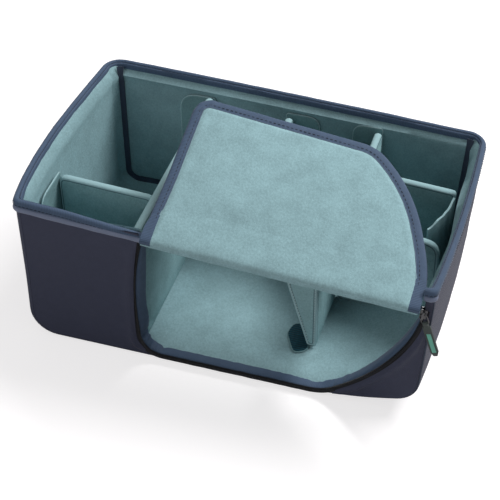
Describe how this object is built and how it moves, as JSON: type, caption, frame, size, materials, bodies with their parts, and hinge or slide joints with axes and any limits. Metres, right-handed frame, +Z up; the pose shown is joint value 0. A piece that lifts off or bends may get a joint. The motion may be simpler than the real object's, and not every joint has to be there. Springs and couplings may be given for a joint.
{
  "type": "camera bag insert",
  "caption": "Padded open-top camera bag insert with a zip-round side door folded open over the top and soft dividers held by hook tabs.",
  "frame": {"origin": "on the floor, under the middle of the bag's footprint", "axes": "+Z up, +X along the length to the right end, +Y to the back"},
  "size_m": [0.4417, 0.2733, 0.2367],
  "materials": {
    "shell_fabric": "coated dark purple-grey weave",
    "binding_tape": "slate-blue twill tape",
    "lining_loop": "brushed grey-teal loop fabric",
    "foam": "closed-cell foam board",
    "seam_tape": "dark navy tape",
    "zip_tape": "black woven zip tape",
    "zip_coil": "black nylon coil",
    "welt": "purple-grey coated fabric, rolled",
    "divider_loop": "brushed teal loop fabric over foam",
    "tab_hook": "ribbed dark teal hook tape",
    "slider_metal": "gunmetal",
    "puller_rubber": "matt dark grey-green rubber",
    "puller_teal": "matt teal"
  },
  "bodies": {
    "bag": {"gusset": "shell_fabric", "back_panel": "shell_fabric", "front_left_panel": "shell_fabric", "front_right_panel": "shell_fabric", "left_pad": "foam", "right_pad": "foam", "base_pad": "foam", "back_pad": "foam", "front_left_pad": "foam", "front_right_pad": "foam", "left_lining": "lining_loop", "right_lining": "lining_loop", "base_lining": "lining_loop", "back_lining": "lining_loop", "front_left_lining": "lining_loop", "front_right_lining": "lining_loop", "rim_binding": "binding_tape", "front_hem_welt": "welt", "back_seam_tape": "seam_tape", "hinge_strip": "lining_loop", "opening_binding": "binding_tape", "zip_tape_body": "zip_tape", "zip_coil_body": "zip_coil"},
    "side_door": {"door_cover": "shell_fabric", "door_pad": "foam", "door_lining": "lining_loop", "door_hinge_facing": "lining_loop", "door_binding": "binding_tape", "zip_tape_door": "zip_tape", "zip_coil_door": "zip_coil"},
    "slider": {"zip_slider": "slider_metal"},
    "link": {"pull_link": "slider_metal"},
    "pull_tag": {"puller": "puller_rubber", "puller_inlay": "puller_teal"},
    "left_long": {"left_long_divider": "divider_loop", "left_long_tab": "tab_hook"},
    "left_cross": {"left_cross_divider": "divider_loop", "left_cross_wall_tab": "tab_hook", "left_cross_inner_tab": "tab_hook"},
    "back_left": {"back_left_divider": "divider_loop", "back_left_tab": "tab_hook"},
    "back_right": {"back_right_divider": "divider_loop", "back_right_tab": "tab_hook"},
    "long_cross": {"long_cross_divider": "divider_loop", "long_cross_wing": "divider_loop"},
    "right_cross": {"right_cross_divider": "divider_loop"},
    "front_bay": {"front_divider": "divider_loop", "front_divider_end_tab": "divider_loop", "front_divider_floor_tab": "tab_hook"}
  },
  "joints": [
    {"name": "door_fold", "type": "hinge", "parent": "bag", "child": "side_door", "pos_m": [-0.2125, -0.132, 0.1807], "axis": [0.9982, 0, -0.0601], "range_deg": [0, 250]},
    {"name": "slider_travel", "type": "hinge", "parent": "bag", "child": "slider", "pos_m": [0.02607, -0.1315, 0.16633], "axis": [0, 1, 0], "range_deg": [0, 46]},
    {"name": "link_swing", "type": "hinge", "parent": "slider", "child": "link", "pos_m": [0.20336, -0.136, 0.14316], "axis": [-0.9511, 0, -0.309], "range_deg": [0, 120]},
    {"name": "tag_swing", "type": "hinge", "parent": "link", "child": "pull_tag", "pos_m": [0.2066, -0.136, 0.13317], "axis": [-0.9511, 0, -0.309], "range_deg": [0, 45]},
    {"name": "left_long_lift", "type": "slide", "parent": "bag", "child": "left_long", "axis": [0, 0, 1], "range_m": [0, 0.011]},
    {"name": "left_cross_shift", "type": "slide", "parent": "bag", "child": "left_cross", "axis": [0, 1, 0], "range_m": [-0.005, 0.06]},
    {"name": "back_left_shift", "type": "slide", "parent": "bag", "child": "back_left", "axis": [1, 0, 0], "range_m": [-0.02, 0.02]},
    {"name": "back_right_shift", "type": "slide", "parent": "bag", "child": "back_right", "axis": [1, 0, 0], "range_m": [-0.015, 0.002]},
    {"name": "long_cross_lift", "type": "slide", "parent": "bag", "child": "long_cross", "axis": [0, 0, 1], "range_m": [0, 0.02]},
    {"name": "right_cross_shift", "type": "slide", "parent": "bag", "child": "right_cross", "axis": [0, 1, 0], "range_m": [-0.04, 0.002]},
    {"name": "front_divider_shift", "type": "slide", "parent": "bag", "child": "front_bay", "axis": [1, 0, 0], "range_m": [-0.02, 0.002]}
  ]
}
